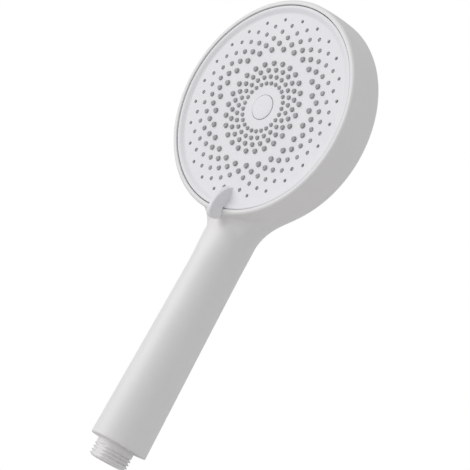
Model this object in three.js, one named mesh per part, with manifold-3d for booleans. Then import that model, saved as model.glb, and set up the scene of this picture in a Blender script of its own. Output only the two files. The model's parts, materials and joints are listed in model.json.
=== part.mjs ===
// Handheld shower head: a hollow handle and round head moulded in one, a round spray face that turns in
// it to choose the spray zone, and the waterway, diverter and detent inside.
//
// Millimetres. +Z runs up along the handle, the spray face looks towards -Y and a little downward, and
// the origin is the centre of the threaded inlet's end face. The handle's axis is a little behind it.
//
// Two frames are used. Handle parts are drawn straight in the part's frame. Head parts are drawn in the
// head's own frame: its origin is the centre of the spray face, +Z is the way the water leaves, and -Y
// points from the middle of the face down to the handle.

import * as THREE from 'three';
import { mergeGeometries, mergeVertices } from 'three/addons/utils/BufferGeometryUtils.js';
import Module from 'manifold-3d';

const wasm = await Module();
wasm.setup();

// ---------------------------------------------------------------- driving dimensions

const TURN = Math.PI * 2;
const degrees = THREE.MathUtils.degToRad;

// How the head sits on the handle.
const FACE_TILT = degrees(9.2);
const HANDLE_AXIS_Y = 1.1;
const FACE_CENTRE = new THREE.Vector3(0, HANDLE_AXIS_Y - 25.5, 198.6);

// Head casing, in the head's frame.
const HEAD_RADIUS = 60;
const HEAD_BULGE = 0.6;
const BEZEL_INNER_RADIUS = 57.7;
const BEZEL_TOP = 2.5;
const HEAD_CAVITY_RADIUS = 57.3;
const DOME_APEX = -30.5;
const DOME_EDGE = -22.3;
const DOME_EDGE_RADIUS = 55.5;
const HEAD_WALL = 2.5;
const CASING_SEGMENTS = 48;

// Handle.
const HANDLE_BOTTOM = 10.3;
const HANDLE_BOTTOM_RADIUS = 15.55;
const HANDLE_NECK_RADIUS = 13.8;
const HANDLE_SOCKET_RADIUS = 12.05;
const HANDLE_SOCKET_TOP = 38;

// Inlet, a G1/2 pipe thread.
const THREAD_CREST_RADIUS = 10.4775;
const THREAD_ROOT_RADIUS = 9.3155;
const THREAD_PITCH = 1.814;
const INLET_MOUTH_RADIUS = 7.2;
const INLET_BORE_RADIUS = 6.2;

// Waterway tube up the handle.
const TUBE_RADIUS = 7.0;
const TUBE_BORE_RADIUS = 5.0;
const TUBE_BOTTOM = 24.4;
const TUBE_TOP = 165;
const TUBE_SOCKET_RADIUS = 7.3;

// Spray face.
const PLATE_RADIUS = 57.3;
const PLATE_THICKNESS = 2.0;
const PLATE_RIM_INNER_RADIUS = 52.0;
const PLATE_RIM_TOP = 2.3;
const CAP_HOLE_RADIUS = 6.9;
const MAT_BACK = -3.4;
const MAT_FRONT = -2.3;
const NOZZLE_TIP = 0.5;
const NOZZLE_CLEARANCE = 0.2;
const NOZZLES_PER_RING = 25;
const NOZZLE_PHASE = degrees(-94.9);
const NOZZLE_RINGS = [
  { radius: 13.45, hole: 2.0 },
  { radius: 17.2, hole: 2.2 },
  { radius: 20.9, hole: 2.3 },
  { radius: 24.7, hole: 2.5 },
  { radius: 32.6, hole: 2.6 },
  { radius: 36.0, hole: 2.45 },
  { radius: 39.25, hole: 2.25 },
  { radius: 42.6, hole: 2.0 },
  { radius: 46.0, hole: 1.7 },
  { radius: 49.35, hole: 1.45 },
];
const INNER_MAT = { from: 9.9, to: 28.3 };
const OUTER_MAT = { from: 28.8, to: 54 };

// Mode lever, and the travel that it gives the spray face.
const LEVER_TIP_RADIUS = 45;
const LEVER_END_RADIUS = 64;
const LEVER_TOP = 9;
const LEVER_HALF_WIDTH = 3.2;
const LEVER_CLEARANCE = 0.6;
const LEVER_TOP_HALF_WIDTH = 1.3;
const MODE_TRAVEL = degrees(28);

// Diverter: the distributor turns with the face, on the manifold that is fixed in the head.
const DISTRIBUTOR_RADIUS = 55;
const DISTRIBUTOR_BACK = -8.7;
const MANIFOLD_FRONT = -9.5;
const MANIFOLD_BACK = -12.5;
const MANIFOLD_RADIUS = 50;
const POST_RADIUS = 5;
const POST_TOP = -4;
const INNER_PORT_RADIUS = 18;
const OUTER_PORT_RADIUS = 32.5;
const PORT_POCKET_RADIUS = 4.5;
const PORT_POCKET_BACK = -14;
const DETENT_RADIUS = 36;
const SCREW_CIRCLE_RADIUS = 45;
const SCREW_ANGLES = [90, 200, 340].map(degrees);

// ---------------------------------------------------------------- solids

// Merges a geometry's shared corners and turns its faces outward.
function closed(geometry) {
  const bare = geometry.clone();
  bare.deleteAttribute('normal');
  bare.deleteAttribute('uv');
  const merged = mergeVertices(bare, 1e-4);
  const index = merged.index.array;
  const triangles = [];
  const corners = [new THREE.Vector3(), new THREE.Vector3(), new THREE.Vector3()];
  let volume = 0;
  for (let i = 0; i < index.length; i += 3) {
    const [a, b, c] = [index[i], index[i + 1], index[i + 2]];
    if (a === b || b === c || c === a) continue;
    triangles.push([a, b, c]);
    [a, b, c].forEach((vertex, k) => corners[k].fromBufferAttribute(merged.attributes.position, vertex));
    volume += corners[0].dot(corners[1].clone().cross(corners[2]));
  }
  const outward = volume < 0 ? triangles.map(([a, b, c]) => [a, c, b]) : triangles;
  merged.setIndex(outward.flat());
  return merged;
}

function toManifold(geometry) {
  const { attributes, index } = closed(geometry);
  const vertProperties = new Float32Array(attributes.position.array);
  const triVerts = new Uint32Array(index.array);
  return new wasm.Manifold(new wasm.Mesh({ numProp: 3, vertProperties, triVerts }));
}

function toGeometry(manifold) {
  const mesh = manifold.getMesh();
  const geometry = new THREE.BufferGeometry();
  geometry.setAttribute('position', new THREE.BufferAttribute(mesh.vertProperties, 3));
  geometry.setIndex(new THREE.BufferAttribute(mesh.triVerts, 1));
  return geometry;
}

function join(...geometries) {
  return toGeometry(geometries.map(toManifold).reduce((sum, next) => sum.add(next)));
}

function cut(geometry, ...tools) {
  return toGeometry(tools.map(toManifold).reduce((rest, tool) => rest.subtract(tool), toManifold(geometry)));
}

// A solid of revolution about Z. The outline is [radius, z] pairs, from axis to axis or closing on itself.
function turned(outline, segments) {
  const onAxis = outline[0][0] === 0;
  const points = onAxis ? outline : [...outline, outline[0]];
  const lathe = new THREE.LatheGeometry(points.map(([r, z]) => new THREE.Vector2(r, z)), segments);
  return closed(lathe.rotateX(Math.PI / 2));
}

function rod(radius, bottom, top, segments = 16) {
  return turned([[0, bottom], [radius, bottom], [radius, top], [0, top]], segments);
}

function ring(innerRadius, outerRadius, bottom, top, segments = 28) {
  const outline = [[innerRadius, bottom], [outerRadius, bottom], [outerRadius, top], [innerRadius, top]];
  return turned(outline, segments);
}

function box(low, high) {
  const size = high.map((value, axis) => value - low[axis]);
  const centre = high.map((value, axis) => (value + low[axis]) / 2);
  return new THREE.BoxGeometry(...size).translate(...centre);
}

// A rubber ring of round section about Z.
function oRing(centreRadius, sectionRadius, height) {
  return new THREE.TorusGeometry(centreRadius, sectionRadius, 5, 20).translate(0, 0, height);
}

function around(geometry, radius, angle) {
  return geometry.clone().translate(radius * Math.cos(angle), radius * Math.sin(angle), 0);
}

// A body of oval sections stacked up Z. A station is [z, half width across X, front y, back y].
function lofted(stations, segments) {
  const last = stations.length - 1;
  const geometry = new THREE.CylinderGeometry(1, 1, 1, segments, last);
  const position = geometry.attributes.position;
  for (let i = 0; i < position.count; i += 1) {
    const [z, halfWidth, front, back] = stations[Math.round((position.getY(i) + 0.5) * last)];
    const y = (front + back) / 2 - position.getZ(i) * (back - front) / 2;
    position.setXYZ(i, position.getX(i) * halfWidth, y, z);
  }
  return geometry;
}

// ---------------------------------------------------------------- springs

class Helix extends THREE.Curve {
  constructor(radius, bottom, top, turns) {
    super();
    Object.assign(this, { radius, bottom, top, turns });
  }

  getPoint(t, target = new THREE.Vector3()) {
    const angle = TURN * this.turns * t;
    const height = THREE.MathUtils.lerp(this.bottom, this.top, t);
    return target.set(this.radius * Math.cos(angle), this.radius * Math.sin(angle), height);
  }
}

function coilSpring(coilRadius, wireRadius, bottom, top, turns) {
  const path = new Helix(coilRadius, bottom + wireRadius, top - wireRadius, turns);
  const corners = Array.from({ length: 5 }, (_, k) => {
    const angle = TURN * k / 5;
    return new THREE.Vector2(wireRadius * Math.cos(angle), wireRadius * Math.sin(angle));
  });
  return new THREE.ExtrudeGeometry(new THREE.Shape(corners), { steps: turns * 8, extrudePath: path });
}

// ---------------------------------------------------------------- head frame

const headFrame = new THREE.Matrix4()
  .makeRotationX(Math.PI / 2 + FACE_TILT)
  .setPosition(FACE_CENTRE);

// ---------------------------------------------------------------- casing

function domeDepth(radius, apex, edge) {
  return THREE.MathUtils.lerp(apex, edge, (radius / DOME_EDGE_RADIUS) ** 2);
}

function domeOutline(apex, edge, lastRadius, steps) {
  return Array.from({ length: steps + 1 }, (_, i) => {
    const radius = lastRadius * i / steps;
    return [radius, domeDepth(radius, apex, edge)];
  });
}

// The wall is slightly barrel-shaped between the bezel and the rounded back edge.
function headCasing() {
  const outline = [
    ...domeOutline(DOME_APEX, DOME_EDGE, DOME_EDGE_RADIUS, 5),
    [57.6, -21.8],
    [59.0, -20.8],
    [59.9, -19.3],
    [HEAD_RADIUS + 0.3, -17.4],
    [HEAD_RADIUS + HEAD_BULGE, -10],
    [HEAD_RADIUS, -0.5],
    [HEAD_RADIUS, BEZEL_TOP - 1.2],
    [HEAD_RADIUS - 0.4, BEZEL_TOP - 0.3],
    [HEAD_RADIUS - 1.2, BEZEL_TOP],
    [0, BEZEL_TOP],
  ];
  return turned(outline, CASING_SEGMENTS);
}

function headCavity() {
  const outline = [
    ...domeOutline(DOME_APEX + HEAD_WALL, DOME_EDGE + HEAD_WALL, 53, 3),
    [56.4, -18.2],
    [HEAD_CAVITY_RADIUS, -16],
    [HEAD_CAVITY_RADIUS, -3.2],
    [BEZEL_INNER_RADIUS, -2.8],
    [BEZEL_INNER_RADIUS, BEZEL_TOP + 1],
    [0, BEZEL_TOP + 1],
  ];
  return turned(outline, CASING_SEGMENTS);
}

function onHandleAxis(geometry) {
  return geometry.translate(0, HANDLE_AXIS_Y, 0);
}

// The handle's outside: a slow taper, a waist under the head, then a spine that fades into the dome.
function handleOutside() {
  const bottom = HANDLE_BOTTOM_RADIUS;
  const neck = HANDLE_NECK_RADIUS;
  const stations = [
    [HANDLE_BOTTOM, bottom - 0.5, 0.5 - bottom, bottom - 0.5],
    [HANDLE_BOTTOM + 0.5, bottom, -bottom, bottom],
    [108, neck + 0.05, -neck - 0.05, neck + 0.05],
    [122, neck, -neck, neck],
    [130, 14.0, -14.2, 13.9],
    [136, 15.3, -14.8, 13.9],
    [141, 17.9, -14.0, 13.9],
    [146, 22.4, -11.0, 13.8],
    [154, 26.5, -9.0, 13.3],
    [164, 27.5, -9.0, 12.5],
    [175, 25.5, -10.0, 10.9],
    [186, 23.0, -11.0, 8.9],
    [198, 20.0, -12.0, 6.2],
    [212, 17.0, -13.0, 0.6],
  ];
  return onHandleAxis(lofted(stations, 24));
}

function handleCavity() {
  const stations = [
    [HANDLE_BOTTOM - 1, HANDLE_SOCKET_RADIUS, -HANDLE_SOCKET_RADIUS, HANDLE_SOCKET_RADIUS],
    [HANDLE_SOCKET_TOP, HANDLE_SOCKET_RADIUS, -HANDLE_SOCKET_RADIUS, HANDLE_SOCKET_RADIUS],
    [HANDLE_SOCKET_TOP + 1, 11.4, -11.4, 11.4],
    [130, 11.2, -11.0, 11.2],
    [142, 11.4, -10.6, 11.3],
    [152, 13.0, -8.0, 11.0],
    [164, 14.0, -8.0, 10.1],
    [175, 13.5, -9.0, 8.5],
    [188, 12.0, -10.0, 5.6],
  ];
  return onHandleAxis(lofted(stations, 16));
}

function screwBoss(angle) {
  return around(rod(3.5, -23.6, MANIFOLD_BACK - 0.3, 12), SCREW_CIRCLE_RADIUS, angle);
}

function screwHole(angle) {
  return around(rod(1.7, -20, MANIFOLD_BACK + 1, 12), SCREW_CIRCLE_RADIUS, angle);
}

// The two ribs that stop the distributor's lug at each end of the mode travel.
function stopRib(side) {
  const angle = side * (MODE_TRAVEL + degrees(5.4));
  return box([-1.5, 51.5, -20.5], [1.5, 58, -9.4]).rotateZ(angle);
}

function bodyShell() {
  const inHead = (geometry) => geometry.applyMatrix4(headFrame);
  const outside = join(inHead(headCasing()), handleOutside());
  const hollow = cut(outside, inHead(headCavity()), handleCavity());
  const fittings = [...SCREW_ANGLES.map(screwBoss), stopRib(1), stopRib(-1)].map(inHead);
  return cut(join(hollow, ...fittings), ...SCREW_ANGLES.map(screwHole).map(inHead));
}

// ---------------------------------------------------------------- inlet and waterway

function threadOutline(bottom, turns) {
  return Array.from({ length: turns }, (_, i) => bottom + i * THREAD_PITCH).flatMap((z) => [
    [THREAD_ROOT_RADIUS, z],
    [THREAD_CREST_RADIUS, z + THREAD_PITCH / 2],
  ]);
}

// The thread and the bore are on the inlet's own axis, the collar and the tube's socket on the handle's.
function inletConnector() {
  const thread = [
    [0, 0],
    [THREAD_ROOT_RADIUS - 0.4, 0],
    [THREAD_ROOT_RADIUS, 0.5],
    ...threadOutline(0.9, 4),
    [THREAD_ROOT_RADIUS, 0.9 + 4 * THREAD_PITCH],
    [THREAD_ROOT_RADIUS, HANDLE_BOTTOM + 1],
    [0, HANDLE_BOTTOM + 1],
  ];
  const collar = [
    [0, HANDLE_BOTTOM + 0.5],
    [11.75, HANDLE_BOTTOM + 0.5],
    [11.75, 15],
    [10.6, 16],
    [10.6, 36],
    [0, 36],
  ];
  const bore = [
    [0, -1],
    [INLET_MOUTH_RADIUS, -1],
    [INLET_MOUTH_RADIUS, 8],
    [INLET_BORE_RADIUS, 8],
    [INLET_BORE_RADIUS, 24.1],
    [0, 24.1],
  ];
  return cut(
    join(turned(thread, 24), onHandleAxis(turned(collar, 24))),
    turned(bore, 20),
    onHandleAxis(rod(TUBE_SOCKET_RADIUS, 24, 37, 20)),
  );
}

function inletScreen() {
  const holes = Array.from({ length: 6 }, (_, k) => around(rod(1.3, 6, 9, 6), 3.9, TURN * k / 6));
  return cut(rod(6.95, 6.9, 7.8, 24), rod(1.3, 6, 9, 6), ...holes);
}

function flowRegulator() {
  const outline = [[0, 11], [5.9, 11], [5.9, 12.6], [5, 12.6], [5, 13.9], [5.9, 13.9], [5.9, 17], [0, 17]];
  const holes = Array.from({ length: 5 }, (_, k) => around(rod(0.9, 10, 18, 6), 3, TURN * k / 5));
  return cut(turned(outline, 16), ...holes);
}

function waterwayTube() {
  const grooveRadius = 6.1;
  const outline = [
    [TUBE_BORE_RADIUS, TUBE_BOTTOM],
    [TUBE_RADIUS, TUBE_BOTTOM],
    [TUBE_RADIUS, 28],
    [grooveRadius, 28],
    [grooveRadius, 29.4],
    [TUBE_RADIUS, 29.4],
    [TUBE_RADIUS, 159.6],
    [grooveRadius, 159.6],
    [grooveRadius, 161],
    [TUBE_RADIUS, 161],
    [TUBE_RADIUS, TUBE_TOP],
    [TUBE_BORE_RADIUS, TUBE_TOP],
  ];
  return turned(outline, 16);
}

// ---------------------------------------------------------------- diverter

function towardsHandle(geometry, radius) {
  return around(geometry, radius, -Math.PI / 2);
}

// The fixed manifold: a disc with the pivot post, port pockets, detent bore and screw holes, and on its
// back the duct that brings water from the tube's elbow to the two ports.
function manifold() {
  const toHead = headFrame.clone().invert();
  const inHead = (geometry) => geometry.applyMatrix4(toHead);
  const solids = [
    rod(MANIFOLD_RADIUS, MANIFOLD_BACK, MANIFOLD_FRONT, 32),
    rod(POST_RADIUS, MANIFOLD_BACK, POST_TOP),
    rod(POST_RADIUS, -17.5, MANIFOLD_BACK + 0.1),
    around(rod(3.8, -19.2, MANIFOLD_BACK + 0.1, 16), DETENT_RADIUS, Math.PI / 2),
    box([-8.5, -40, -24], [8.5, -12, MANIFOLD_BACK + 0.1]),
    inHead(onHandleAxis(rod(9, 155.5, 168))),
  ];
  const pocket = rod(PORT_POCKET_RADIUS, PORT_POCKET_BACK, 0, 16);
  const port = rod(2.2, -18, -13, 8);
  const counterbore = rod(3.5, MANIFOLD_FRONT - 2, 0, 10);
  const clearance = rod(1.7, -20, 0, 8);
  const tools = [
    turned([[4.1, -7.7], [POST_RADIUS + 1, -7.7], [POST_RADIUS + 1, -6.1], [4.1, -6.1]], 16),
    rod(1.8, -16.2, 0, 12),
    towardsHandle(pocket, INNER_PORT_RADIUS),
    towardsHandle(pocket, OUTER_PORT_RADIUS),
    towardsHandle(port, INNER_PORT_RADIUS),
    towardsHandle(port, OUTER_PORT_RADIUS),
    around(rod(2.1, -18.4, 0, 16), DETENT_RADIUS, Math.PI / 2),
    box([-6, -36, -21.5], [6, -14, -15.3]),
    inHead(onHandleAxis(rod(TUBE_SOCKET_RADIUS, 150, 165.4))),
    inHead(onHandleAxis(rod(TUBE_BORE_RADIUS, 165, 167))),
    ...SCREW_ANGLES.map((angle) => around(counterbore, SCREW_CIRCLE_RADIUS, angle)),
    ...SCREW_ANGLES.map((angle) => around(clearance, SCREW_CIRCLE_RADIUS, angle)),
  ];
  return cut(join(...solids), ...tools);
}

function portSeal() {
  return turned([[2.2, -11.8], [4.2, -11.8], [4.2, -10], [3.6, -9], [2.2, -9]], 16);
}

function portSpring() {
  return coilSpring(3.2, 0.25, -13.9, -11.9, 2);
}

function detentPlunger() {
  const tip = Array.from({ length: 5 }, (_, i) => {
    const angle = Math.PI / 2 * i / 4;
    return [1.6 * Math.cos(angle), -10.35 + 1.6 * Math.sin(angle)];
  });
  tip[tip.length - 1][0] = 0;
  return turned([[0, -15], [1.8, -15], [1.8, -12], [1.6, -11.7], ...tip], 12);
}

function detentSpring() {
  return coilSpring(1.5, 0.3, -18.3, -15.1, 3);
}

function manifoldScrew() {
  const head = MANIFOLD_FRONT - 0.1;
  const shank = [[0, -19.2], [1.4, -18.6], [1.4, head - 1.7]];
  return turned([...shank, [3.1, head - 1.7], [3.1, head - 0.5], [2.5, head], [0, head]], 10);
}

function distributor() {
  const back = DISTRIBUTOR_BACK;
  const floor = back + 2;
  const wallTop = MAT_BACK - 0.3;
  const outline = [
    [POST_RADIUS + 0.3, back],
    [DISTRIBUTOR_RADIUS, back],
    [DISTRIBUTOR_RADIUS, wallTop],
    [DISTRIBUTOR_RADIUS - 1.8, wallTop],
    [DISTRIBUTOR_RADIUS - 1.8, floor],
    [29.2, floor],
    [29.2, wallTop],
    [28, wallTop],
    [28, floor],
    [9.5, floor],
    [9.5, -2.35],
    [6.8, -2.35],
    [6.8, -4.2],
    [POST_RADIUS + 0.3, -4.2],
  ];
  const body = join(turned(outline, 40), box([-3, 50.5, -12], [3, 54.2, back + 0.5]));
  const portHole = rod(2, back - 1, floor + 1, 8);
  const dimple = new THREE.SphereGeometry(2, 10, 8).translate(0, 0, back - 2 + 0.35);
  const up = Math.PI / 2;
  return cut(
    body,
    around(portHole, INNER_PORT_RADIUS, -up),
    around(portHole, INNER_PORT_RADIUS, -up + MODE_TRAVEL),
    around(portHole, OUTER_PORT_RADIUS, -up),
    around(portHole, OUTER_PORT_RADIUS, -up - MODE_TRAVEL),
    ...[-MODE_TRAVEL, 0, MODE_TRAVEL].map((angle) => around(dimple, DETENT_RADIUS, up + angle)),
  );
}

// ---------------------------------------------------------------- spray face

// Every nozzle's place: rings of equally spaced nozzles, each ring half a step round from the last. The
// ones that would be under the lever are left out.
function nozzlePlaces() {
  return NOZZLE_RINGS.flatMap(({ radius, hole }, i) => {
    const stagger = i % 2 / 2;
    const places = Array.from({ length: NOZZLES_PER_RING }, (_, k) => {
      const angle = NOZZLE_PHASE + TURN * (k + stagger) / NOZZLES_PER_RING;
      return { x: radius * Math.cos(angle), y: radius * Math.sin(angle), hole };
    });
    const leverSide = LEVER_HALF_WIDTH + LEVER_CLEARANCE;
    return places.filter(({ x, y }) => !(y < 5 - LEVER_TIP_RADIUS && Math.abs(x) < leverSide));
  });
}

// A square prism of the same area as the round nozzle, or the round hole, that it stands for.
function nozzlePrism({ x, y, hole }, clearance, bottom, top) {
  const radius = hole / 2 * Math.sqrt(Math.PI / 2) - clearance;
  const prism = new THREE.CylinderGeometry(radius, radius, top - bottom, 4);
  return prism.rotateX(Math.PI / 2).rotateZ(Math.atan2(y, x)).translate(x, y, (top + bottom) / 2);
}

function nozzleMat({ from, to }) {
  const inZone = ({ x, y }) => Math.hypot(x, y) > from && Math.hypot(x, y) < to;
  const places = nozzlePlaces().filter(inZone);
  const nozzles = places.map((place) => nozzlePrism(place, NOZZLE_CLEARANCE, MAT_BACK + 0.5, NOZZLE_TIP));
  return join(ring(from, to, MAT_BACK, MAT_FRONT), mergeGeometries(nozzles));
}

function plateDisc() {
  const shape = new THREE.Shape().absarc(0, 0, PLATE_RIM_INNER_RADIUS + 1, 0, TURN);
  shape.holes.push(new THREE.Path().absarc(0, 0, CAP_HOLE_RADIUS, 0, TURN));
  return new THREE.ExtrudeGeometry(shape, { depth: PLATE_THICKNESS, bevelEnabled: false, curveSegments: 20 })
    .translate(0, 0, -PLATE_THICKNESS);
}

function facePlate() {
  const rim = [
    [PLATE_RIM_INNER_RADIUS, -PLATE_THICKNESS],
    [55.5, -PLATE_THICKNESS],
    [55.5, -7],
    [56.9, -7],
    [PLATE_RADIUS, -1],
    [PLATE_RADIUS, PLATE_RIM_TOP],
    [56.6, PLATE_RIM_TOP],
    [55.6, 1.5],
    [54.3, 0.6],
    [53.1, 0.1],
    [PLATE_RIM_INNER_RADIUS, 0],
  ];
  const holes = nozzlePlaces().map((place) => nozzlePrism(place, 0, -PLATE_THICKNESS - 1, 1));
  return cut(join(plateDisc(), turned(rim, 40)), mergeGeometries(holes));
}

// A fin that stands on the plate, rises over the rim and overhangs the bezel.
function modeLever() {
  const profile = [
    [LEVER_TIP_RADIUS, 0.05],
    [51.4, 0.05],
    [52.5, 0.3],
    [53.8, 0.9],
    [55.1, 1.8],
    [56.1, 2.6],
    [56.8, 2.85],
    [60.3, 2.85],
    [61.8, 2.6],
    [63.4, 2.9],
    [LEVER_END_RADIUS, 4.1],
    [LEVER_END_RADIUS, 5.3],
    [63.6, 6.7],
    [62.8, 7.8],
    [61.4, 8.6],
    [58.6, LEVER_TOP],
    [54.5, 8.5],
    [51.2, 7.1],
    [48.3, 5.1],
    [46.3, 3.0],
  ];
  const shape = new THREE.Shape(profile.map(([r, z]) => new THREE.Vector2(r, z)));
  const slab = new THREE.ExtrudeGeometry(shape, { depth: 2, steps: 2, bevelEnabled: false });
  const position = slab.attributes.position;
  for (let i = 0; i < position.count; i += 1) {
    const [r, z, side] = [position.getX(i), position.getY(i), position.getZ(i) - 1];
    const halfWidth = THREE.MathUtils.lerp(LEVER_HALF_WIDTH, LEVER_TOP_HALF_WIDTH, z / LEVER_TOP);
    position.setXYZ(i, side * halfWidth, -r, z);
  }
  return closed(slab);
}

function centreCap() {
  return turned([[0, -0.8], [5.6, -0.8], [5.6, -2], [6.6, -2], [6.6, -0.1], [6.2, 0.1], [0, 0.1]], 20);
}

function centreScrew() {
  const shank = [[0, -15.6], [1.5, -15], [1.5, -3.05]];
  return turned([...shank, [3.4, -3.05], [3.4, -1.6], [2.6, -1.1], [0, -1.1]], 16);
}

// ---------------------------------------------------------------- materials

function plastic(color, roughness) {
  return new THREE.MeshStandardMaterial({ color, roughness, metalness: 0 });
}

function metal(color, roughness) {
  return new THREE.MeshStandardMaterial({ color, roughness, metalness: 1 });
}

const casingWhite = plastic(0xe2e0de, 0.5);
const faceWhite = plastic(0xe6e6ea, 0.25);
const innerWhite = plastic(0xd2d2ce, 0.45);
const innerGrey = plastic(0x8d9094, 0.5);
const nozzleRubber = plastic(0xa9a9ac, 0.65);
const sealRubber = plastic(0x26272a, 0.8);
const steel = metal(0xb4b6b8, 0.3);

// ---------------------------------------------------------------- assembly

function part(name, geometry, material) {
  const mesh = new THREE.Mesh(closed(geometry), material);
  mesh.name = name;
  return mesh;
}

const handleParts = [
  part('body_shell', bodyShell(), casingWhite),
  part('inlet_connector', inletConnector(), casingWhite),
  part('inlet_screen', inletScreen(), steel),
  part('flow_regulator', flowRegulator(), innerGrey),
  part('regulator_oring', oRing(5.6, 0.5, 13.25), sealRubber),
  part('waterway_tube', onHandleAxis(waterwayTube()), innerWhite),
  part('tube_oring_lower', onHandleAxis(oRing(6.7, 0.5, 28.7)), sealRubber),
  part('tube_oring_upper', onHandleAxis(oRing(6.7, 0.5, 160.3)), sealRubber),
];

const headParts = [
  part('manifold', manifold(), innerGrey),
  part('port_seal_inner', towardsHandle(portSeal(), INNER_PORT_RADIUS), sealRubber),
  part('port_seal_outer', towardsHandle(portSeal(), OUTER_PORT_RADIUS), sealRubber),
  part('port_spring_inner', towardsHandle(portSpring(), INNER_PORT_RADIUS), steel),
  part('port_spring_outer', towardsHandle(portSpring(), OUTER_PORT_RADIUS), steel),
  part('detent_plunger', around(detentPlunger(), DETENT_RADIUS, Math.PI / 2), innerWhite),
  part('detent_spring', around(detentSpring(), DETENT_RADIUS, Math.PI / 2), steel),
  part('pivot_oring', oRing(4.7, 0.5, -6.9), sealRubber),
  part('distributor', distributor(), innerWhite),
  part('nozzle_mat_inner', nozzleMat(INNER_MAT), nozzleRubber),
  part('nozzle_mat_outer', nozzleMat(OUTER_MAT), nozzleRubber),
  part('face_plate', facePlate(), faceWhite),
  part('mode_lever', modeLever(), faceWhite),
  part('screw_washer', ring(2.2, 6.4, -3.85, -3.15, 20), steel),
  part('centre_screw', centreScrew(), steel),
  part('centre_cap', centreCap(), faceWhite),
  ...SCREW_ANGLES.map((angle, i) => {
    return part(`manifold_screw_${i + 1}`, around(manifoldScrew(), SCREW_CIRCLE_RADIUS, angle), steel);
  }),
];

const head = new THREE.Group();
head.position.copy(FACE_CENTRE);
head.rotation.x = Math.PI / 2 + FACE_TILT;
head.add(...headParts);

const showerHead = new THREE.Group();
showerHead.add(...handleParts, head);

export default showerHead;
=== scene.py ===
"""The looks of the handheld shower head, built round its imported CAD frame.

Shapes are drawn in millimetres and scaled to metres as they are made. Handle parts are drawn in the
part's own frame. Head parts are drawn in the head's frame, which the face_turn joint gives: its origin
is the centre of the spray face, +Z is the way the water leaves, and -Y points down to the handle.
"""

import json
import math

import bmesh
import bpy
import numpy as np
from mathutils import Matrix, Vector, geometry


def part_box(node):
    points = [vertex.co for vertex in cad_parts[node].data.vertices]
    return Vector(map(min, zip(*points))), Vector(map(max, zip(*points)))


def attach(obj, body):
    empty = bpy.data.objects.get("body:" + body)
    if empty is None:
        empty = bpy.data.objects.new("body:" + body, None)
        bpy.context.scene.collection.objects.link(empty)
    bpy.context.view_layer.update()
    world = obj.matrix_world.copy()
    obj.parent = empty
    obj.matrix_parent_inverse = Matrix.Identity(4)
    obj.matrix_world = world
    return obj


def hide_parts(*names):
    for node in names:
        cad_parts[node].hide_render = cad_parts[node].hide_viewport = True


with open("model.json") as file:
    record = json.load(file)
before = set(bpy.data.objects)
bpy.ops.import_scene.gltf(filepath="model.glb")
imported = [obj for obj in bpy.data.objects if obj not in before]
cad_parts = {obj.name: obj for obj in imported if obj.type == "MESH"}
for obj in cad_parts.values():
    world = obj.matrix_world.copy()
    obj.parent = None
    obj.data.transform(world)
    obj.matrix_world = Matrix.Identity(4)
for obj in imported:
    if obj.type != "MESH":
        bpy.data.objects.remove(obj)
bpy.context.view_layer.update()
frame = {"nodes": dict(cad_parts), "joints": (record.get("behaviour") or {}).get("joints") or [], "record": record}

MM = 0.001
TURN = 2 * math.pi

# ---------------------------------------------------------------- driving dimensions, from the frame

face_turn = next(joint for joint in frame["joints"] if joint["name"] == "face_turn")
OUTWARD = Vector(face_turn["axis"]).normalized()
FACE_CENTRE = Vector(face_turn["pos_m"]) / MM
HEAD_TURN = Matrix((Vector((1, 0, 0)), OUTWARD.cross(Vector((1, 0, 0))), OUTWARD)).transposed()
HEAD_FRAME = Matrix.Translation(FACE_CENTRE) @ HEAD_TURN.to_4x4()
PART_FRAME = Matrix.Identity(4)


def box_mm(node):
    low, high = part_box(node)
    return low / MM, high / MM


PLATE_RADIUS = box_mm("face_plate")[1].x - 0.3
HANDLE_BOTTOM = box_mm("body_shell")[0].z
TUBE_LOW, TUBE_HIGH = box_mm("waterway_tube")
HANDLE_AXIS_Y = (TUBE_LOW.y + TUBE_HIGH.y) / 2
HANDLE_FRAME = Matrix.Translation((0, HANDLE_AXIS_Y, 0))

# Head casing, in the head's frame.
HEAD_RADIUS = 60.0
HEAD_BULGE = 0.6
BULGE_HEIGHT = -10.0
BEZEL_TOP = 2.5
BEZEL_INNER_RADIUS = 57.4
BEZEL_ROUNDING = 1.4
BACK_ROUNDING = 3.5
DOME_APEX = -30.5
DOME_EDGE = -22.3
DOME_EDGE_RADIUS = 55.5
HEAD_WALL = 2.5
CAVITY_RADIUS = 57.3

# Handle.
HANDLE_BOTTOM_RADIUS = 15.55
HANDLE_NECK_RADIUS = 13.8
TAPER_END = 118.0
SOCKET_RADIUS = 12.05
SOCKET_TOP = 38.0
SPINE_START = 141.0
SPINE_END = 212.0
SPINE_DROP = 13.3
SHOULDER_WIDENING = 7.0
END_ROUNDING = 0.3
NECK_FULLNESS = 0.3

# Heights, up the handle, over which the shoulders widen and the neck's front fills out and goes round again.
SHOULDER_SPAN = (140.0, 165.0)
FILLING_SPAN = (112.0, 130.0)
ROUNDING_SPAN = (136.0, 146.0)

# The fillet between head and handle. It grows over the first depths behind the spray face, then thins
# and ends over two stretches up the spine.
BEZEL_FILLET = 3.0
NECK_FILLET = 14.0
FILLET_GROWTH_DEPTHS = (1.0, 10.0)
FILLET_THINNING = 0.6
FILLET_THINNING_SPAN = (150.0, 195.0)
FILLET_END_SPAN = (185.0, 206.0)

# Inlet, a G1/2 thread.
THREAD_ROOT_RADIUS = 9.3155
THREAD_CREST_RADIUS = 10.4775
COLLAR_RADIUS = 10.1
THREAD_PITCH = 1.814
THREAD_START = 0.9
THREAD_END = 7.5
THREAD_FLAT = 9.35

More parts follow.
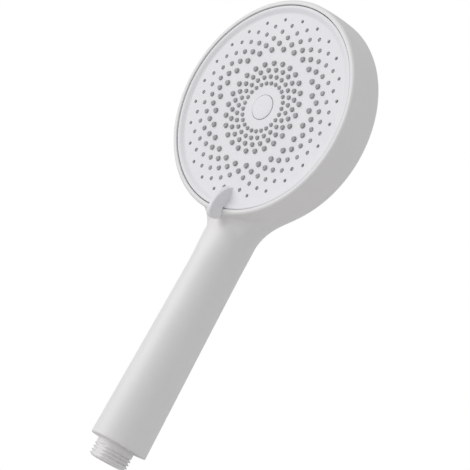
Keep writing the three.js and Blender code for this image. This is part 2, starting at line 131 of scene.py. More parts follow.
# Spray face.
CAP_HOLE_RADIUS = 6.9
PLATE_THICKNESS = 2.0
DISH_RADIUS = 52.0
DISH_RISE = 0.63
RIM_HEIGHT = 1.9
COVE_WIDTH = 3.6
NOZZLES_PER_RING = 25
NOZZLE_PHASE = math.radians(-94.9)
LEVER_CLEAR_HALF_WIDTH = 3.8
LEVER_CLEAR_RADIUS = 40.0
HOLE_CORNERS = 24
NOZZLE_CORNERS = 14

# Each ring of nozzles: its radius, the hole's diameter, the nozzle's share of the hole, its tip's height.
NOZZLE_RINGS = [
    (13.45, 2.20, 0.90, 0.85),
    (17.20, 2.40, 0.90, 0.95),
    (20.90, 2.60, 0.90, 1.05),
    (24.70, 2.85, 0.90, 1.10),
    (32.60, 3.00, 0.90, 1.10),
    (36.00, 2.85, 0.90, 1.00),
    (39.25, 2.60, 0.89, 0.80),
    (42.60, 2.35, 0.86, 0.45),
    (46.00, 2.15, 0.75, -0.30),
    (49.35, 1.90, 0.62, -0.80),
]
INNER_MAT = (9.9, 28.3)
OUTER_MAT = (28.8, 54.0)
NOZZLE_BORE_RADIUS = 0.22
MAT_BACK = -3.4
MAT_FRONT = -2.3

# ---------------------------------------------------------------- meshes


def make_object(name, points, faces, placed=PART_FRAME):
    """A mesh object of points in millimetres, drawn in the frame placed, still in millimetres."""
    mesh = bpy.data.meshes.new(name)
    mesh.from_pydata([tuple(p) for p in points], [], faces)
    mesh.transform(placed)
    mesh.update()
    obj = bpy.data.objects.new(name, mesh)
    bpy.context.scene.collection.objects.link(obj)
    return obj


def apply_modifiers(obj):
    evaluated = obj.evaluated_get(bpy.context.evaluated_depsgraph_get())
    mesh = bpy.data.meshes.new_from_object(evaluated)
    obj.modifiers.clear()
    obj.data = mesh


def combine(obj, operation, *tools):
    """Cuts the tools from obj, or joins them to it, and deletes them."""
    for tool in tools:
        modifier = obj.modifiers.new(operation, "BOOLEAN")
        modifier.operation = operation
        modifier.solver = "MANIFOLD"
        modifier.object = tool
    apply_modifiers(obj)
    for tool in tools:
        bpy.data.objects.remove(tool)
    return obj


def outward(obj):
    """Merges a mesh's doubled points and turns its faces outward."""
    work = bmesh.new()
    work.from_mesh(obj.data)
    bmesh.ops.remove_doubles(work, verts=work.verts, dist=1e-4)
    bmesh.ops.recalc_face_normals(work, faces=work.faces)
    work.to_mesh(obj.data)
    work.free()
    return obj


def turned(name, outline, segments, placed=PART_FRAME):
    """A solid turned about Z. The outline is (radius, z) pairs, from axis to axis or a closed loop."""
    on_axis = outline[0][0] == 0
    rows = len(outline)
    points = []
    for i in range(segments):
        angle = TURN * i / segments
        points += [(r * math.cos(angle), r * math.sin(angle), z) for r, z in outline]
    faces = []
    for i in range(segments):
        here, there = i * rows, (i + 1) % segments * rows
        for k in range(rows - 1 if on_axis else rows):
            a, b = k, (k + 1) % rows
            faces.append((here + a, there + a, there + b, here + b))
    return outward(make_object(name, points, faces, placed))


def tube_grid(name, rings, placed=PART_FRAME):
    """A closed solid skinned over rings of the same number of points, with a flat end at each end."""
    count = len(rings[0])
    points = [point for ring in rings for point in ring]
    faces = [tuple(range(count)), tuple(range(len(points) - count, len(points)))]
    for row in range(len(rings) - 1):
        for i in range(count):
            a, b = row * count + i, row * count + (i + 1) % count
            faces.append((a, b, b + count, a + count))
    return outward(make_object(name, points, faces, placed))


def smooth(obj, sharp_angle):
    obj.data.polygons.foreach_set("use_smooth", [True] * len(obj.data.polygons))
    obj.data.set_sharp_from_angle(angle=math.radians(sharp_angle))
    return obj


def finish_piece(obj, body, slot, *nodes, sharp_angle=35):
    """Scales a drawn piece to metres, gives it its slot's material and ties it to its body and CAD nodes."""
    obj.data.transform(Matrix.Scale(MM, 4))
    smooth(obj, sharp_angle)
    obj.data.materials.clear()
    obj.data.materials.append(MATERIALS[slot])
    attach(obj, body)
    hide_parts(*nodes)
    return obj


def true_normals(obj, surface):
    """Gives a finished piece's faces that lie on a surface the exact normals of that surface.

    surface takes places in millimetres and returns whether each is on that surface, and its direction.
    """
    mesh = obj.data
    owners, normals = np.empty(len(mesh.loops), int), np.empty(len(mesh.loops) * 3)
    mesh.loops.foreach_get("vertex_index", owners)
    mesh.corner_normals.foreach_get("vector", normals)
    normals = normals.reshape(-1, 3)
    starts, sizes = np.empty(len(mesh.polygons), int), np.empty(len(mesh.polygons), int)
    mesh.polygons.foreach_get("loop_start", starts)
    mesh.polygons.foreach_get("loop_total", sizes)
    on_surface, direction = surface(mesh_arrays(mesh)[0] / MM)
    direction = direction / np.maximum(np.linalg.norm(direction, axis=1), 1e-9)[:, None]
    whole_face = np.logical_and.reduceat(on_surface[owners], starts)
    match = np.repeat(whole_face, sizes)
    normals[match] = direction[owners][match]
    mesh.normals_split_custom_set([tuple(n) for n in normals])


def smoothstep(low, high, value):
    t = np.clip((value - low) / (high - low), 0, 1)
    return t * t * (3 - 2 * t)


# ---------------------------------------------------------------- materials


class Nodes:
    """A material's node tree, with short calls for the nodes that it is made of."""

    def __init__(self, name):
        self.material = bpy.data.materials.new(name)
        self.material.use_nodes = True
        self.tree = self.material.node_tree
        self.shader = self.tree.nodes["Principled BSDF"]
        self.place = self.add("ShaderNodeTexCoord").outputs["Object"]

    def add(self, kind, **settings):
        node = self.tree.nodes.new(kind)
        for key, value in settings.items():
            setattr(node, key, value)
        return node

    def link(self, output, socket):
        self.tree.links.new(output, socket)

    def noise(self, scale, detail=2.0, roughness=0.5, stretch=(1, 1, 1)):
        mapping = self.add("ShaderNodeMapping")
        mapping.inputs["Scale"].default_value = stretch
        self.link(self.place, mapping.inputs["Vector"])
        node = self.add("ShaderNodeTexNoise")
        node.inputs["Scale"].default_value = scale
        node.inputs["Detail"].default_value = detail
        node.inputs["Roughness"].default_value = roughness
        self.link(mapping.outputs["Vector"], node.inputs["Vector"])
        return node.outputs["Fac"]

    def spread(self, value, low, high, start=0.3, end=0.7):
        node = self.add("ShaderNodeMapRange")
        node.inputs["From Min"].default_value = start
        node.inputs["From Max"].default_value = end
        node.inputs["To Min"].default_value = low
        node.inputs["To Max"].default_value = high
        self.link(value, node.inputs["Value"])
        return node.outputs["Result"]

    def mix(self, factor, first, second):
        """Mixes two colours. Each is a colour or another mix's output."""
        node = self.add("ShaderNodeMix", data_type="RGBA")
        self.link(factor, node.inputs["Factor"])
        for socket, colour in ((node.inputs["A"], first), (node.inputs["B"], second)):
            if isinstance(colour, tuple):
                socket.default_value = (*colour, 1)
            else:
                self.link(colour, socket)
        return node.outputs["Result"]

    def bump(self, height, distance, after=None):
        node = self.add("ShaderNodeBump")
        node.inputs["Distance"].default_value = distance
        self.link(height, node.inputs["Height"])
        if after is not None:
            self.link(after, node.inputs["Normal"])
        return node.outputs["Normal"]

    def edges(self):
        """0 in creases, about 0.5 on flats, 1 on worn corners."""
        return self.add("ShaderNodeNewGeometry").outputs["Pointiness"]


def tinted(colour, gain):
    return tuple(min(1.0, c * gain) for c in colour)


def moulded_plastic(name, colour, roughness, grain, warm=1.0, gloss=0.5, worn_and_shaded=True):
    """Moulded plastic: cloudy colour, spark-eroded grain, flow marks, and, if asked for, lighter worn corners and
    painted shade darkening its creases.
    """
    n = Nodes(name)
    clouds = n.spread(n.noise(38, detail=4, roughness=0.6), 0, 1)
    duller = tinted(colour, 0.985)
    warmer = (min(1, colour[0] * 1.012 * warm), colour[1] * 1.008, colour[2] * 1.004)
    base = n.mix(clouds, duller, warmer)
    speck = n.spread(n.noise(2600, detail=1), 0, 1, 0.68, 0.8)
    base = n.mix(speck, base, tinted(colour, 0.93))
    if worn_and_shaded:
        # Painted shade: creases are darkened to stand in for the shade that gathers in them. Corners are lightened
        # as wear.
        painted_crease_shade = n.spread(n.edges(), 0.5, 0, 0.40, 0.49)
        base = n.mix(painted_crease_shade, base, tinted(colour, 0.80))
        worn = n.spread(n.edges(), 0, 0.6, 0.52, 0.62)
        base = n.mix(worn, base, tinted(colour, 1.05))
    n.link(base, n.shader.inputs["Base Color"])
    handled = n.noise(24, detail=5, roughness=0.65, stretch=(1, 1, 0.45))
    n.link(n.spread(handled, roughness - 0.05, roughness + 0.07), n.shader.inputs["Roughness"])
    fine = n.bump(n.noise(3800, detail=2), grain)
    flow = n.bump(n.noise(60, detail=2, stretch=(1, 1, 0.3)), grain * 3, after=fine)
    n.link(flow, n.shader.inputs["Normal"])
    n.shader.inputs["IOR"].default_value = 1.5
    n.shader.inputs["Specular IOR Level"].default_value = gloss
    return n.material


def soft_rubber(name, colour, roughness):
    """Silicone or rubber: uneven bloom on the surface, traces of limescale and a pebbled skin."""
    n = Nodes(name)
    bloom = n.spread(n.noise(300, detail=4, roughness=0.65), 0, 1)
    base = n.mix(bloom, tinted(colour, 0.88), tinted(colour, 1.1))
    limescale = n.spread(n.noise(95, detail=5, roughness=0.7), 0, 0.5, 0.55, 0.8)
    base = n.mix(limescale, base, tinted(colour, 1.35))
    n.link(base, n.shader.inputs["Base Color"])
    n.link(n.spread(n.noise(500, detail=3), roughness - 0.08, roughness + 0.1), n.shader.inputs["Roughness"])
    n.link(n.bump(n.noise(2600, detail=3), 0.00002), n.shader.inputs["Normal"])
    n.shader.inputs["IOR"].default_value = 1.43
    return n.material


def bright_steel(name, colour, roughness):
    """Rolled stainless steel: fine drawing lines and a few water marks."""
    n = Nodes(name)
    n.shader.inputs["Metallic"].default_value = 1
    lines = n.noise(900, detail=3, stretch=(1, 1, 14))
    marks = n.spread(n.noise(140, detail=4), 0, 1, 0.5, 0.75)
    base = n.mix(lines, tinted(colour, 0.85), tinted(colour, 1.08))
    base = n.mix(marks, base, tinted(colour, 0.72))
    n.link(base, n.shader.inputs["Base Color"])
    n.link(n.spread(lines, roughness - 0.08, roughness + 0.14), n.shader.inputs["Roughness"])
    n.link(n.bump(lines, 0.000015), n.shader.inputs["Normal"])
    return n.material


MATERIALS = {
    "casing_white": moulded_plastic("casing_white", (0.785, 0.778, 0.783), 0.42, 0.000012, warm=1.003),
    "face_white": moulded_plastic("face_white", (0.80, 0.80, 0.835), 0.4, 0.000004, gloss=0.3, worn_and_shaded=False),
    "inner_white": moulded_plastic("inner_white", (0.66, 0.66, 0.63), 0.45, 0.000015),
    "inner_grey": moulded_plastic("inner_grey", (0.27, 0.28, 0.30), 0.5, 0.00002),
    "nozzle_rubber": soft_rubber("nozzle_rubber", (0.42, 0.42, 0.43), 0.6),
    "seal_rubber": soft_rubber("seal_rubber", (0.022, 0.023, 0.026), 0.6),
    "steel": bright_steel("steel", (0.62, 0.62, 0.61), 0.28),
}


def dress_cad_nodes():
    """Every CAD node that stays gets the procedural material of its slot in the record."""
    for row in frame["record"]["subparts"]:
        for material_slot in frame["nodes"][row["node"]].material_slots:
            material_slot.material = MATERIALS[row["material_slot"]]


# ---------------------------------------------------------------- casing


def head_places(points):
    """Points of the part's frame, as an array of rows, in the head's frame."""
    return (points - np.array(FACE_CENTRE)) @ np.array(HEAD_TURN)


def rounded_max(a, b, radius):
    """The distance to the common part of two solids, with its edge rounded."""
    corner = np.hypot(np.maximum(a + radius, 0), np.maximum(b + radius, 0))
    return np.minimum(np.maximum(a, b), -radius) + corner


def rounded_min(a, b, radius):
    """The distance to two solids joined, with a fillet where they meet."""
    corner = np.hypot(np.maximum(radius - a, 0), np.maximum(radius - b, 0))
    return np.maximum(np.minimum(a, b), radius) - corner


def dome_depth(radius):
    return DOME_APEX + (DOME_EDGE - DOME_APEX) * (radius / DOME_EDGE_RADIUS) ** 2


def barrel_radius(height):
    return HEAD_RADIUS + HEAD_BULGE * (1 - ((height - BULGE_HEIGHT) / (BEZEL_TOP - BULGE_HEIGHT)) ** 2)


def drum_distance(points):
    x, y, height = head_places(points).T
    radius = np.hypot(x, y)
    side = radius - barrel_radius(height)
    front = height - BEZEL_TOP
    slope = 2 * (DOME_EDGE - DOME_APEX) * radius / DOME_EDGE_RADIUS ** 2
    back = (dome_depth(radius) - height) / np.hypot(1, slope)
    return rounded_max(rounded_max(side, front, BEZEL_ROUNDING), back, BACK_ROUNDING)


def handle_radius(z):
    left = np.clip((TAPER_END - z) / (TAPER_END - HANDLE_BOTTOM), 0, 1)
    return HANDLE_NECK_RADIUS + (HANDLE_BOTTOM_RADIUS - HANDLE_NECK_RADIUS) * left ** 1.2


def handle_distance(points):
    """The tapered handle. Above the neck its back leans into the dome as a fading spine."""
    x, y, z = points.T
    y = y - HANDLE_AXIS_Y
    radius = handle_radius(z)
    leaning = np.clip((z - SPINE_START) / (SPINE_END - SPINE_START), 0, 1)
    depth = radius - SPINE_DROP * leaning ** 2 / 2
    half_width = radius + SHOULDER_WIDENING * smoothstep(*SHOULDER_SPAN, z)
    middle = depth - radius
    round_y = y - middle
    size = np.minimum(half_width, depth)
    filled = smoothstep(*FILLING_SPAN, z) * (1 - smoothstep(*ROUNDING_SPAN, z))
    power = 2 + NECK_FULLNESS * filled * (round_y < 0)
    side = ((np.abs(x / half_width) ** power + np.abs(round_y / depth) ** power) ** (1 / power) - 1) * size
    ended = rounded_max(side, HANDLE_BOTTOM - z, END_ROUNDING)
    return np.maximum(ended, z - SPINE_END)


def casing_distance(points):
    z = points[:, 2]
    depth = -head_places(points)[:, 2]
    fillet = BEZEL_FILLET + (NECK_FILLET - BEZEL_FILLET) * smoothstep(*FILLET_GROWTH_DEPTHS, depth)
    fillet = fillet * (1 - FILLET_THINNING * smoothstep(*FILLET_THINNING_SPAN, z))
    fillet = fillet * (1 - smoothstep(*FILLET_END_SPAN, z))
    return rounded_min(drum_distance(points), handle_distance(points), fillet)


def onto_surface(points, steps):
    """Moves points down the distance's slope until they lie on the casing's surface."""
    for _ in range(steps):
        slope = casing_slope(points)
        steepness = np.maximum((slope ** 2).sum(1), 0.05)
        points = points - slope * (casing_distance(points) / steepness)[:, None]
    return points


def relaxed(points, edges, amount):
    """Each point moves part of the way to the middle of its neighbours."""
    total = np.zeros_like(points)
    count = np.zeros(len(points))
    for here, there in ((0, 1), (1, 0)):
        np.add.at(total, edges[:, here], points[edges[:, there]])
        np.add.at(count, edges[:, here], 1)
    return points + (total / count[:, None] - points) * amount


def mesh_arrays(mesh):
    points = np.empty(len(mesh.vertices) * 3)
    mesh.vertices.foreach_get("co", points)
    edges = np.empty(len(mesh.edges) * 2, int)
    mesh.edges.foreach_get("vertices", edges)
    return points.reshape(-1, 3), edges.reshape(-1, 2)


def fit_to_casing(obj, rounds):
    points, edges = mesh_arrays(obj.data)
    points = onto_surface(points, 6)
    for _ in range(rounds):
        points = onto_surface(relaxed(points, edges, 0.5), 2)
    obj.data.vertices.foreach_set("co", points.ravel())
    obj.data.update()


def rough_casing(voxel):
    """The drum and handle in rough, skinned with even quads for the true surface to pull into shape."""
    back = [(r, dome_depth(r)) for r in np.linspace(0, 58, 12)]
    drum = turned("casing", [*back, (60, -20), (60.5, -10), (60, 1.3), (58.8, BEZEL_TOP), (0, BEZEL_TOP)],
                  96, HEAD_FRAME)
    sections = [(HANDLE_BOTTOM, 15.5), (100, 14), (132, 14), (140, 18), (150, 20), (170, 16), (195, 9)]
    angles = [TURN * i / 48 for i in range(48)]
    rings = [[(r * math.cos(a), min(r, 13.5) * math.sin(a), z) for a in angles] for z, r in sections]
    handle = tube_grid("handle", rings, HANDLE_FRAME)
    combine(drum, "UNION", handle)
    remesh = drum.modifiers.new("remesh", "REMESH")
    remesh.mode = "VOXEL"
    remesh.voxel_size = voxel
    apply_modifiers(drum)
    return drum


def refine_rims(obj):
    """Splits the quads near the bezel's and the handle's rounded edges, where the surface bends tightly."""
    work = bmesh.new()
    work.from_mesh(obj.data)
    points = np.array([v.co for v in work.verts])
    height = head_places(points)[:, 2]
    near = (height > -0.5) & (np.hypot(*head_places(points)[:, :2].T) > 55)
    near |= points[:, 2] < HANDLE_BOTTOM + 1.2
    fine = [edge for edge in work.edges if near[edge.verts[0].index] and near[edge.verts[1].index]]
    bmesh.ops.subdivide_edges(work, edges=fine, cuts=1, use_grid_fill=True)
    work.to_mesh(obj.data)
    work.free()


def casing_slope(points):
    """The outward direction of the casing's surface at points on it, not yet of unit length."""
    h = 1e-3
    slope = np.empty_like(points)
    for axis in range(3):
        step = np.zeros(3)
        step[axis] = h
        slope[:, axis] = (casing_distance(points + step) - casing_distance(points - step)) / (2 * h)
    return slope


def head_cavity():
    inside = [(r, dome_depth(r) + HEAD_WALL) for r in np.linspace(0, 53, 9)]
    outline = [
        *inside,
        (55.4, -19.1),
        (56.6, -17.8),
        (CAVITY_RADIUS, -16),
        (CAVITY_RADIUS, -3.2),
        (BEZEL_INNER_RADIUS, -2.8),
        (BEZEL_INNER_RADIUS, BEZEL_TOP - 0.25),
        (BEZEL_INNER_RADIUS + 0.25, BEZEL_TOP),
        (BEZEL_INNER_RADIUS + 0.25, BEZEL_TOP + 1),
        (0, BEZEL_TOP + 1),
    ]
    return turned("head_cavity", outline, 256, HEAD_FRAME)


def handle_cavity():
    sections = [
        (HANDLE_BOTTOM - 1, SOCKET_RADIUS + 0.3, SOCKET_RADIUS + 0.3),
        (HANDLE_BOTTOM, SOCKET_RADIUS + 0.3, SOCKET_RADIUS + 0.3),
        (HANDLE_BOTTOM + 0.3, SOCKET_RADIUS, SOCKET_RADIUS),
        (SOCKET_TOP, SOCKET_RADIUS, SOCKET_RADIUS),
        (SOCKET_TOP + 1, 11.4, 11.4),
        (130, 11.2, 11.2),
        (152, 12.5, 10.6),
        (164, 13.5, 9.6),
        (188, 11.5, 4.8),
    ]
    angles = [TURN * i / 72 for i in range(72)]
    rings = []
    for z, half_width, back in sections:
        front = min(back, 10)
        rings.append([(half_width * math.cos(a), (back if a < math.pi else front) * math.sin(a), z)
                      for a in angles])
    return tube_grid("handle_cavity", rings, HANDLE_FRAME)


def make_casing():
    obj = rough_casing(1.0)
    fit_to_casing(obj, 3)
    refine_rims(obj)
    fit_to_casing(obj, 2)
    combine(obj, "DIFFERENCE", head_cavity(), handle_cavity())
    finish_piece(obj, "handset", "casing_white", "body_shell")
    true_normals(obj, lambda places: (np.abs(casing_distance(places)) < 0.03, casing_slope(places)))


# ---------------------------------------------------------------- spray face


def dish_height(radius):
    return DISH_RISE * (radius / DISH_RADIUS) ** 2


def nozzle_places():
    """(x, y, hole radius, nozzle share, tip height, ring radius) of every nozzle.

    Every other ring is staggered by half a step, and nozzles under the lever are left out.
    """
    places = []
    for index, (radius, hole, share, tip) in enumerate(NOZZLE_RINGS):
        for k in range(NOZZLES_PER_RING):
            angle = NOZZLE_PHASE + TURN * (k + index % 2 / 2) / NOZZLES_PER_RING
            x, y = radius * math.cos(angle), radius * math.sin(angle)
            if y > -LEVER_CLEAR_RADIUS or abs(x) > LEVER_CLEAR_HALF_WIDTH:
                places.append((x, y, hole / 2, share, tip, radius))
    return places


def circle(x, y, radius, corners, turn=0.0):
    angles = [turn + TURN * i / corners for i in range(corners)]
    return [(x + radius * math.cos(a), y + radius * math.sin(a)) for a in angles]


def holed_disc(loops, keep):
    """Triangles between closed loops of points. keep says whether a triangle's middle is in the sheet."""
    flat = [Vector(point) for loop in loops for point in loop]
    edges, start = [], 0
    for loop in loops:
        edges += [(start + i, start + (i + 1) % len(loop)) for i in range(len(loop))]
        start += len(loop)
    points, _, faces, *_ = geometry.delaunay_2d_cdt(flat, edges, [], 0, 1e-5)
    middles = [(points[a] + points[b] + points[c]) / 3 for a, b, c in faces]
    return points, [face for face, middle in zip(faces, middles) if keep(middle)]


def dish_surface(places):
    """Which places lie on the plate's dished front, and the direction of that front at each."""
    x, y, height = head_places(places).T
    radius = np.hypot(x, y)
    on_dish = (radius < DISH_RADIUS + 0.01) & (np.abs(height - dish_height(radius)) < 0.01)
    steep = 2 * DISH_RISE / DISH_RADIUS ** 2
    local = np.column_stack((-steep * x, -steep * y, np.ones(len(x))))
    return on_dish, local @ np.array(HEAD_TURN).T


def make_plate():
    rim_corners = 240
    easing = 0.16
    places = nozzle_places()
    cores = np.array([(x, y, r) for x, y, r, *_ in places])

    def in_sheet(middle, widening):
        inside_rims = CAP_HOLE_RADIUS < middle.length < DISH_RADIUS
        from_cores = np.hypot(cores[:, 0] - middle.x, cores[:, 1] - middle.y)
        return inside_rims and bool((from_cores > (cores[:, 2] + widening) * 0.985).all())

    points, faces = [], []

    def add_sheet(loops, widening, height, flipped):
        flat, triangles = holed_disc(loops, lambda middle: in_sheet(middle, widening))
        start = len(points)
        points.extend((p.x, p.y, height(p.length)) for p in flat)
        faces.extend(tuple(start + i for i in (face[::-1] if flipped else face)) for face in triangles)

    def add_strip(rows):
        start, count = len(points), len(rows[0])
        points.extend(point for row in rows for point in row)
        for row in range(len(rows) - 1):
            for i in range(count):
                a, b = start + row * count + i, start + row * count + (i + 1) % count
                faces.append((a, b, b + count, a + count))

    def lathe_rows(outline, corners):
        return [[(x, y, z) for x, y in circle(0, 0, r, corners)] for r, z in outline]

    support = [circle(0, 0, r, n) for r, n in ((8.0, 64), (10.6, 72), (28.6, 96), (51.2, 160))]
    rims = [circle(0, 0, CAP_HOLE_RADIUS + easing, 96), circle(0, 0, DISH_RADIUS, rim_corners)]
    tops = [circle(x, y, r + easing, HOLE_CORNERS) for x, y, r, *_ in places]
    add_sheet([*rims, *support, *tops], easing, dish_height, False)
    bottoms = [circle(x, y, r, HOLE_CORNERS) for x, y, r, *_ in places]
    add_sheet([*rims, *bottoms], 0, lambda radius: -PLATE_THICKNESS, True)

    for x, y, r, *_ in places:
        rows = []
        for wider, lower in ((easing, 0), (easing * 0.29, easing * 0.29), (0, easing)):
            rows.append([(px, py, dish_height(math.hypot(px, py)) - lower)
                         for px, py in circle(x, y, r + wider, HOLE_CORNERS)])
        rows.append([(px, py, -PLATE_THICKNESS) for px, py in circle(x, y, r, HOLE_CORNERS)])
        add_strip(rows)

    hole_top = dish_height(CAP_HOLE_RADIUS + easing)
    add_strip(lathe_rows([
        (CAP_HOLE_RADIUS + easing, hole_top),
        (CAP_HOLE_RADIUS, hole_top - easing),
        (CAP_HOLE_RADIUS, -PLATE_THICKNESS),
        (CAP_HOLE_RADIUS + easing, -PLATE_THICKNESS),
    ], 96))
    rise = RIM_HEIGHT - DISH_RISE
    cove = [(DISH_RADIUS + 0.5 + COVE_WIDTH * t, DISH_RISE + 0.01 + rise * smoothstep(0, 1, t))
            for t in np.linspace(0, 1, 11)]
    add_strip(lathe_rows([
        (DISH_RADIUS, DISH_RISE),
        *cove,
        (PLATE_RADIUS - 0.4, RIM_HEIGHT),
        (PLATE_RADIUS - 0.12, RIM_HEIGHT - 0.08),
        (PLATE_RADIUS, RIM_HEIGHT - 0.3),
        (PLATE_RADIUS, -1),
        (56.9, -7),
        (55.5, -7),
        (55.5, -PLATE_THICKNESS),
        (DISH_RADIUS, -PLATE_THICKNESS),
    ], rim_corners))
    obj = outward(make_object("spray_plate", points, faces, HEAD_FRAME))
    finish_piece(obj, "spray_face", "face_white", "face_plate", sharp_angle=16)
    true_normals(obj, dish_surface)


def nozzle_outline(radius, share, tip):
    """A soft nozzle: a stub that nearly fills its hole, with a rounded lip, a flat tip and a small bore."""
    neck = radius * share
    bore = NOZZLE_BORE_RADIUS
    return [
        (radius * 0.94, MAT_FRONT - 0.3),
        (neck, MAT_FRONT + 0.8),
        (neck, tip - 0.42),
        (neck * 0.96, tip - 0.25),
        (neck * 0.86, tip - 0.1),
        (neck * 0.7, tip - 0.02),
        (neck * 0.58, tip),
        (bore * 1.4, tip - 0.01),
        (bore, tip - 0.08),
        (bore * 0.8, tip - 0.9),
        (0, tip - 1.0),
    ]


def make_mat(name, node, zone):
    low, high = zone
    sheet = turned(name, [(low, MAT_BACK), (high, MAT_BACK), (high, MAT_FRONT), (low, MAT_FRONT)], 128)
    corners = NOZZLE_CORNERS
    points, faces = [], []
    for x, y, radius, share, tip, ring_radius in nozzle_places():
        if not low < ring_radius < high:
            continue
        outline = nozzle_outline(radius, share, tip + dish_height(ring_radius))
        start = len(points)
        for r, z in outline[:-1]:
            points.extend((px, py, z) for px, py in circle(x, y, r, corners))
        points.append((x, y, outline[-1][1]))
        for row in range(len(outline) - 2):
            for i in range(corners):
                a, b = start + row * corners + i, start + row * corners + (i + 1) % corners
                faces.append((a, b, b + corners, a + corners))
        last = start + (len(outline) - 2) * corners
        faces.extend((last + i, last + (i + 1) % corners, len(points) - 1) for i in range(corners))
        faces.append(tuple(start + i for i in reversed(range(corners))))
    nozzles = outward(make_object("nozzles", points, faces))
    combine(sheet, "UNION", nozzles)
    sheet.data.transform(HEAD_FRAME)
    return finish_piece(sheet, "spray_face", "nozzle_rubber", node, sharp_angle=50)


# The lever's stations along its length: distance from the face's centre, underside, ridge height,
# half-width at the foot, half-width of the ridge.
LEVER_STATIONS = [
    (45.1, 0.40, 0.70, 2.90, 2.70),
    (45.6, 0.40, 1.50, 3.10, 2.40),
    (46.3, 0.40, 2.60, 3.10, 2.10),
    (47.2, 0.42, 3.75, 3.10, 1.85),
    (48.4, 0.45, 4.90, 3.10, 1.68),
    (50.1, 0.50, 6.20, 3.10, 1.58),
    (52.3, 0.55, 7.50, 3.12, 1.55),
    (54.3, 1.15, 8.25, 3.18, 1.52),
    (55.6, 1.75, 8.60, 3.25, 1.50),
    (56.3, 1.85, 8.72, 3.32, 1.50),
    (56.8, 2.75, 8.80, 3.40, 1.50),
    (57.9, 2.80, 8.88, 3.60, 1.50),
    (59.4, 2.80, 8.90, 3.80, 1.50),
    (60.7, 2.75, 8.80, 3.78, 1.50),
    (61.9, 2.65, 8.40, 3.45, 1.50),
    (62.8, 2.65, 7.80, 3.00, 1.45),
    (63.4, 2.80, 7.00, 2.40, 1.25),
    (63.8, 3.20, 6.00, 1.65, 0.90),
    (64.0, 3.90, 4.90, 0.80, 0.50),
]


def lever_ring(distance, low, high, foot, ridge):
    """One section of the fin: concave sides that spread at the foot, and a crowned ridge."""
    height = high - low
    crown = min(0.5, height * 0.2)
    side = []
    for t in np.linspace(0, 1, 7):
        half_width = ridge + (foot - ridge) * (1 - t) ** 1.9
        side.append((half_width, low + (height - crown) * t))
    arc = np.linspace(0.35, math.pi - 0.35, 5)
    top = [(ridge * math.cos(a), high - crown + crown * math.sin(a)) for a in arc]
    loop = side + top + [(-x, z) for x, z in reversed(side)]
    return [(x, -distance, z) for x, z in loop]


def make_lever():
    rings = [lever_ring(*station) for station in LEVER_STATIONS]
    obj = tube_grid("lever", rings, HEAD_FRAME)
    return finish_piece(obj, "spray_face", "face_white", "mode_lever", sharp_angle=40)


def make_cap():
    outline = [
        (0, -0.8),
        (5.6, -0.8),
        (5.6, -2.0),
        (6.78, -2.0),
        (6.78, 0.1),
        (6.73, 0.24),
        (6.6, 0.33),
        (6.4, 0.37),
        (4.0, 0.4),
        (2.0, 0.42),
        (0, 0.42),
    ]
    obj = turned("cap", outline, 96, HEAD_FRAME)
    return finish_piece(obj, "spray_face", "face_white", "centre_cap", sharp_angle=30)


# ---------------------------------------------------------------- inlet


def thread_radius(z, angle):
    """The threaded pipe's radius: a helical ridge that fades at both ends and on the mould's flats."""
    turn = (z / THREAD_PITCH - angle / TURN) % 1
    wave = abs(2 * turn - 1)
    ridge = float(np.clip((wave - 0.14) / 0.72, 0, 1))
    start = float(smoothstep(THREAD_START - 0.6, THREAD_START, z))
    end = float(smoothstep(THREAD_END - 0.7, THREAD_END, z))
    radius = THREAD_ROOT_RADIUS + (THREAD_CREST_RADIUS - THREAD_ROOT_RADIUS) * ridge * start
    radius = min(radius, max(THREAD_FLAT / max(abs(math.sin(angle)), 0.01), THREAD_ROOT_RADIUS))
    return radius + (COLLAR_RADIUS - radius) * end


def make_inlet():
    corners = 96
    neck_top = HANDLE_BOTTOM + 1
    angles = [TURN * i / corners for i in range(corners)]
    rings = [[(r * math.cos(a), r * math.sin(a), z) for a in angles] for r, z in ((8.7, 0), (9.1, 0.1))]
    for z in np.arange(0.3, THREAD_END + 0.3, THREAD_PITCH / 12):
        radii = [thread_radius(z, a) for a in angles]
        rings.append([(r * math.cos(a), r * math.sin(a), z) for r, a in zip(radii, angles)])
    rings.append([(COLLAR_RADIUS * math.cos(a), COLLAR_RADIUS * math.sin(a), neck_top) for a in angles])
    pipe = tube_grid("inlet", rings)
    sleeve_end = HANDLE_BOTTOM + 0.5
    sleeve = [(0, sleeve_end), (11.5, sleeve_end), (11.75, sleeve_end + 0.25),
              (11.75, 15), (10.6, 16), (10.6, 36), (0, 36)]
    collar = turned("collar", sleeve, 96, HANDLE_FRAME)
    stepped = [(0, -1), (7.5, -1), (7.5, 0), (7.2, 0.3), (7.2, 8), (6.2, 8), (6.2, 24.1), (0, 24.1)]
    bore = turned("bore", stepped, 72)
    socket = turned("socket", [(0, 24), (7.3, 24), (7.3, 37), (0, 37)], 64, HANDLE_FRAME)
    combine(pipe, "UNION", collar)
    combine(pipe, "DIFFERENCE", bore, socket)
    return finish_piece(pipe, "handset", "casing_white", "inlet_connector", sharp_angle=50)


# ---------------------------------------------------------------- camera, lights, floor

# In metres. The camera's place and the point it looks at start from the centre of the spray face.
CAMERA_PLACE = Vector((0.5962, -0.5565, -0.2300)) + FACE_CENTRE * MM
CAMERA_TARGET = Vector((0, 0.0269, -0.0629)) + FACE_CENTRE * MM
CAMERA_ROLL = math.radians(28.564)
CAMERA_LENS = 124.10
FLOOR_HEIGHT = -0.32
FLOOR_HALF = 1.5
AMBIENT = 0.63
KEY_DIRECTION = (-0.64, -0.75, 0.14)
KEY_SPREAD = math.radians(50)
KEY_STRENGTH = 1.24


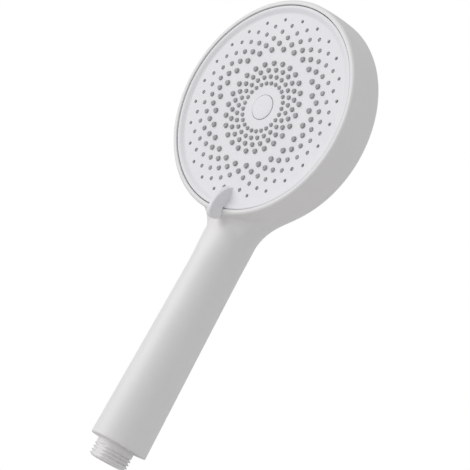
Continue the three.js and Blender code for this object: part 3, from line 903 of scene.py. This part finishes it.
def make_camera():
    data = bpy.data.cameras.new("camera")
    data.sensor_width = 36
    data.lens = CAMERA_LENS
    camera = bpy.data.objects.new("camera", data)
    bpy.context.scene.collection.objects.link(camera)
    level = (CAMERA_TARGET - CAMERA_PLACE).to_track_quat("-Z", "Y").to_matrix()
    turned_view = level @ Matrix.Rotation(CAMERA_ROLL, 3, "Z")
    camera.matrix_world = Matrix.Translation(CAMERA_PLACE) @ turned_view.to_4x4()
    bpy.context.scene.camera = camera


def broad_light(name, direction, spread, strength):
    """Even light from a wide, far-off soft box in a direction."""
    data = bpy.data.lights.new(name, "SUN")
    data.angle = spread
    data.energy = strength
    light = bpy.data.objects.new(name, data)
    bpy.context.scene.collection.objects.link(light)
    light.matrix_world = Vector(direction).to_track_quat("Z", "Y").to_matrix().to_4x4()


def make_studio():
    """A white backdrop to the camera's eye, and softer light from it that dims towards the floor."""
    world = bpy.data.worlds.new("studio")
    bpy.context.scene.world = world
    world.use_nodes = True
    tree = world.node_tree
    tree.nodes.clear()
    node = tree.nodes.new
    output, mix = node("ShaderNodeOutputWorld"), node("ShaderNodeMixShader")
    path = node("ShaderNodeLightPath")
    soft, seen = node("ShaderNodeBackground"), node("ShaderNodeBackground")
    soft.inputs["Color"].default_value = (1.0, 0.998, 1.0, 1)
    seen.inputs["Color"].default_value = (1, 1, 1, 1)
    place, split = node("ShaderNodeTexCoord"), node("ShaderNodeSeparateXYZ")
    fade = node("ShaderNodeMapRange")
    fade.interpolation_type = "SMOOTHSTEP"
    for name, value in (("From Min", -0.95), ("From Max", -0.45), ("To Min", 0.2), ("To Max", AMBIENT)):
        fade.inputs[name].default_value = value
    tree.links.new(place.outputs["Generated"], split.inputs["Vector"])
    tree.links.new(split.outputs["Z"], fade.inputs["Value"])
    tree.links.new(fade.outputs["Result"], soft.inputs["Strength"])
    tree.links.new(path.outputs["Is Camera Ray"], mix.inputs["Fac"])
    tree.links.new(soft.outputs["Background"], mix.inputs[1])
    tree.links.new(seen.outputs["Background"], mix.inputs[2])
    tree.links.new(mix.outputs["Shader"], output.inputs["Surface"])
    broad_light("key", KEY_DIRECTION, KEY_SPREAD, KEY_STRENGTH)
    bpy.context.scene.view_settings.view_transform = "Standard"


def make_floor():
    """A plain pale floor, drawn straight in metres."""
    corners = [(x * FLOOR_HALF, y * FLOOR_HALF, FLOOR_HEIGHT) for x, y in ((-1, -1), (1, -1), (1, 1), (-1, 1))]
    floor = make_object("floor", corners, [(0, 1, 2, 3)])
    n = Nodes("floor")
    pale = n.mix(n.noise(6, detail=4), (0.82, 0.82, 0.81), (0.86, 0.86, 0.85))
    n.link(pale, n.shader.inputs["Base Color"])
    n.shader.inputs["Roughness"].default_value = 0.8
    floor.data.materials.append(n.material)


# ---------------------------------------------------------------- assembly

make_camera()
make_studio()
make_floor()
dress_cad_nodes()
make_casing()
make_inlet()
make_plate()
make_mat("nozzles_inner", "nozzle_mat_inner", INNER_MAT)
make_mat("nozzles_outer", "nozzle_mat_outer", OUTER_MAT)
make_lever()
make_cap()
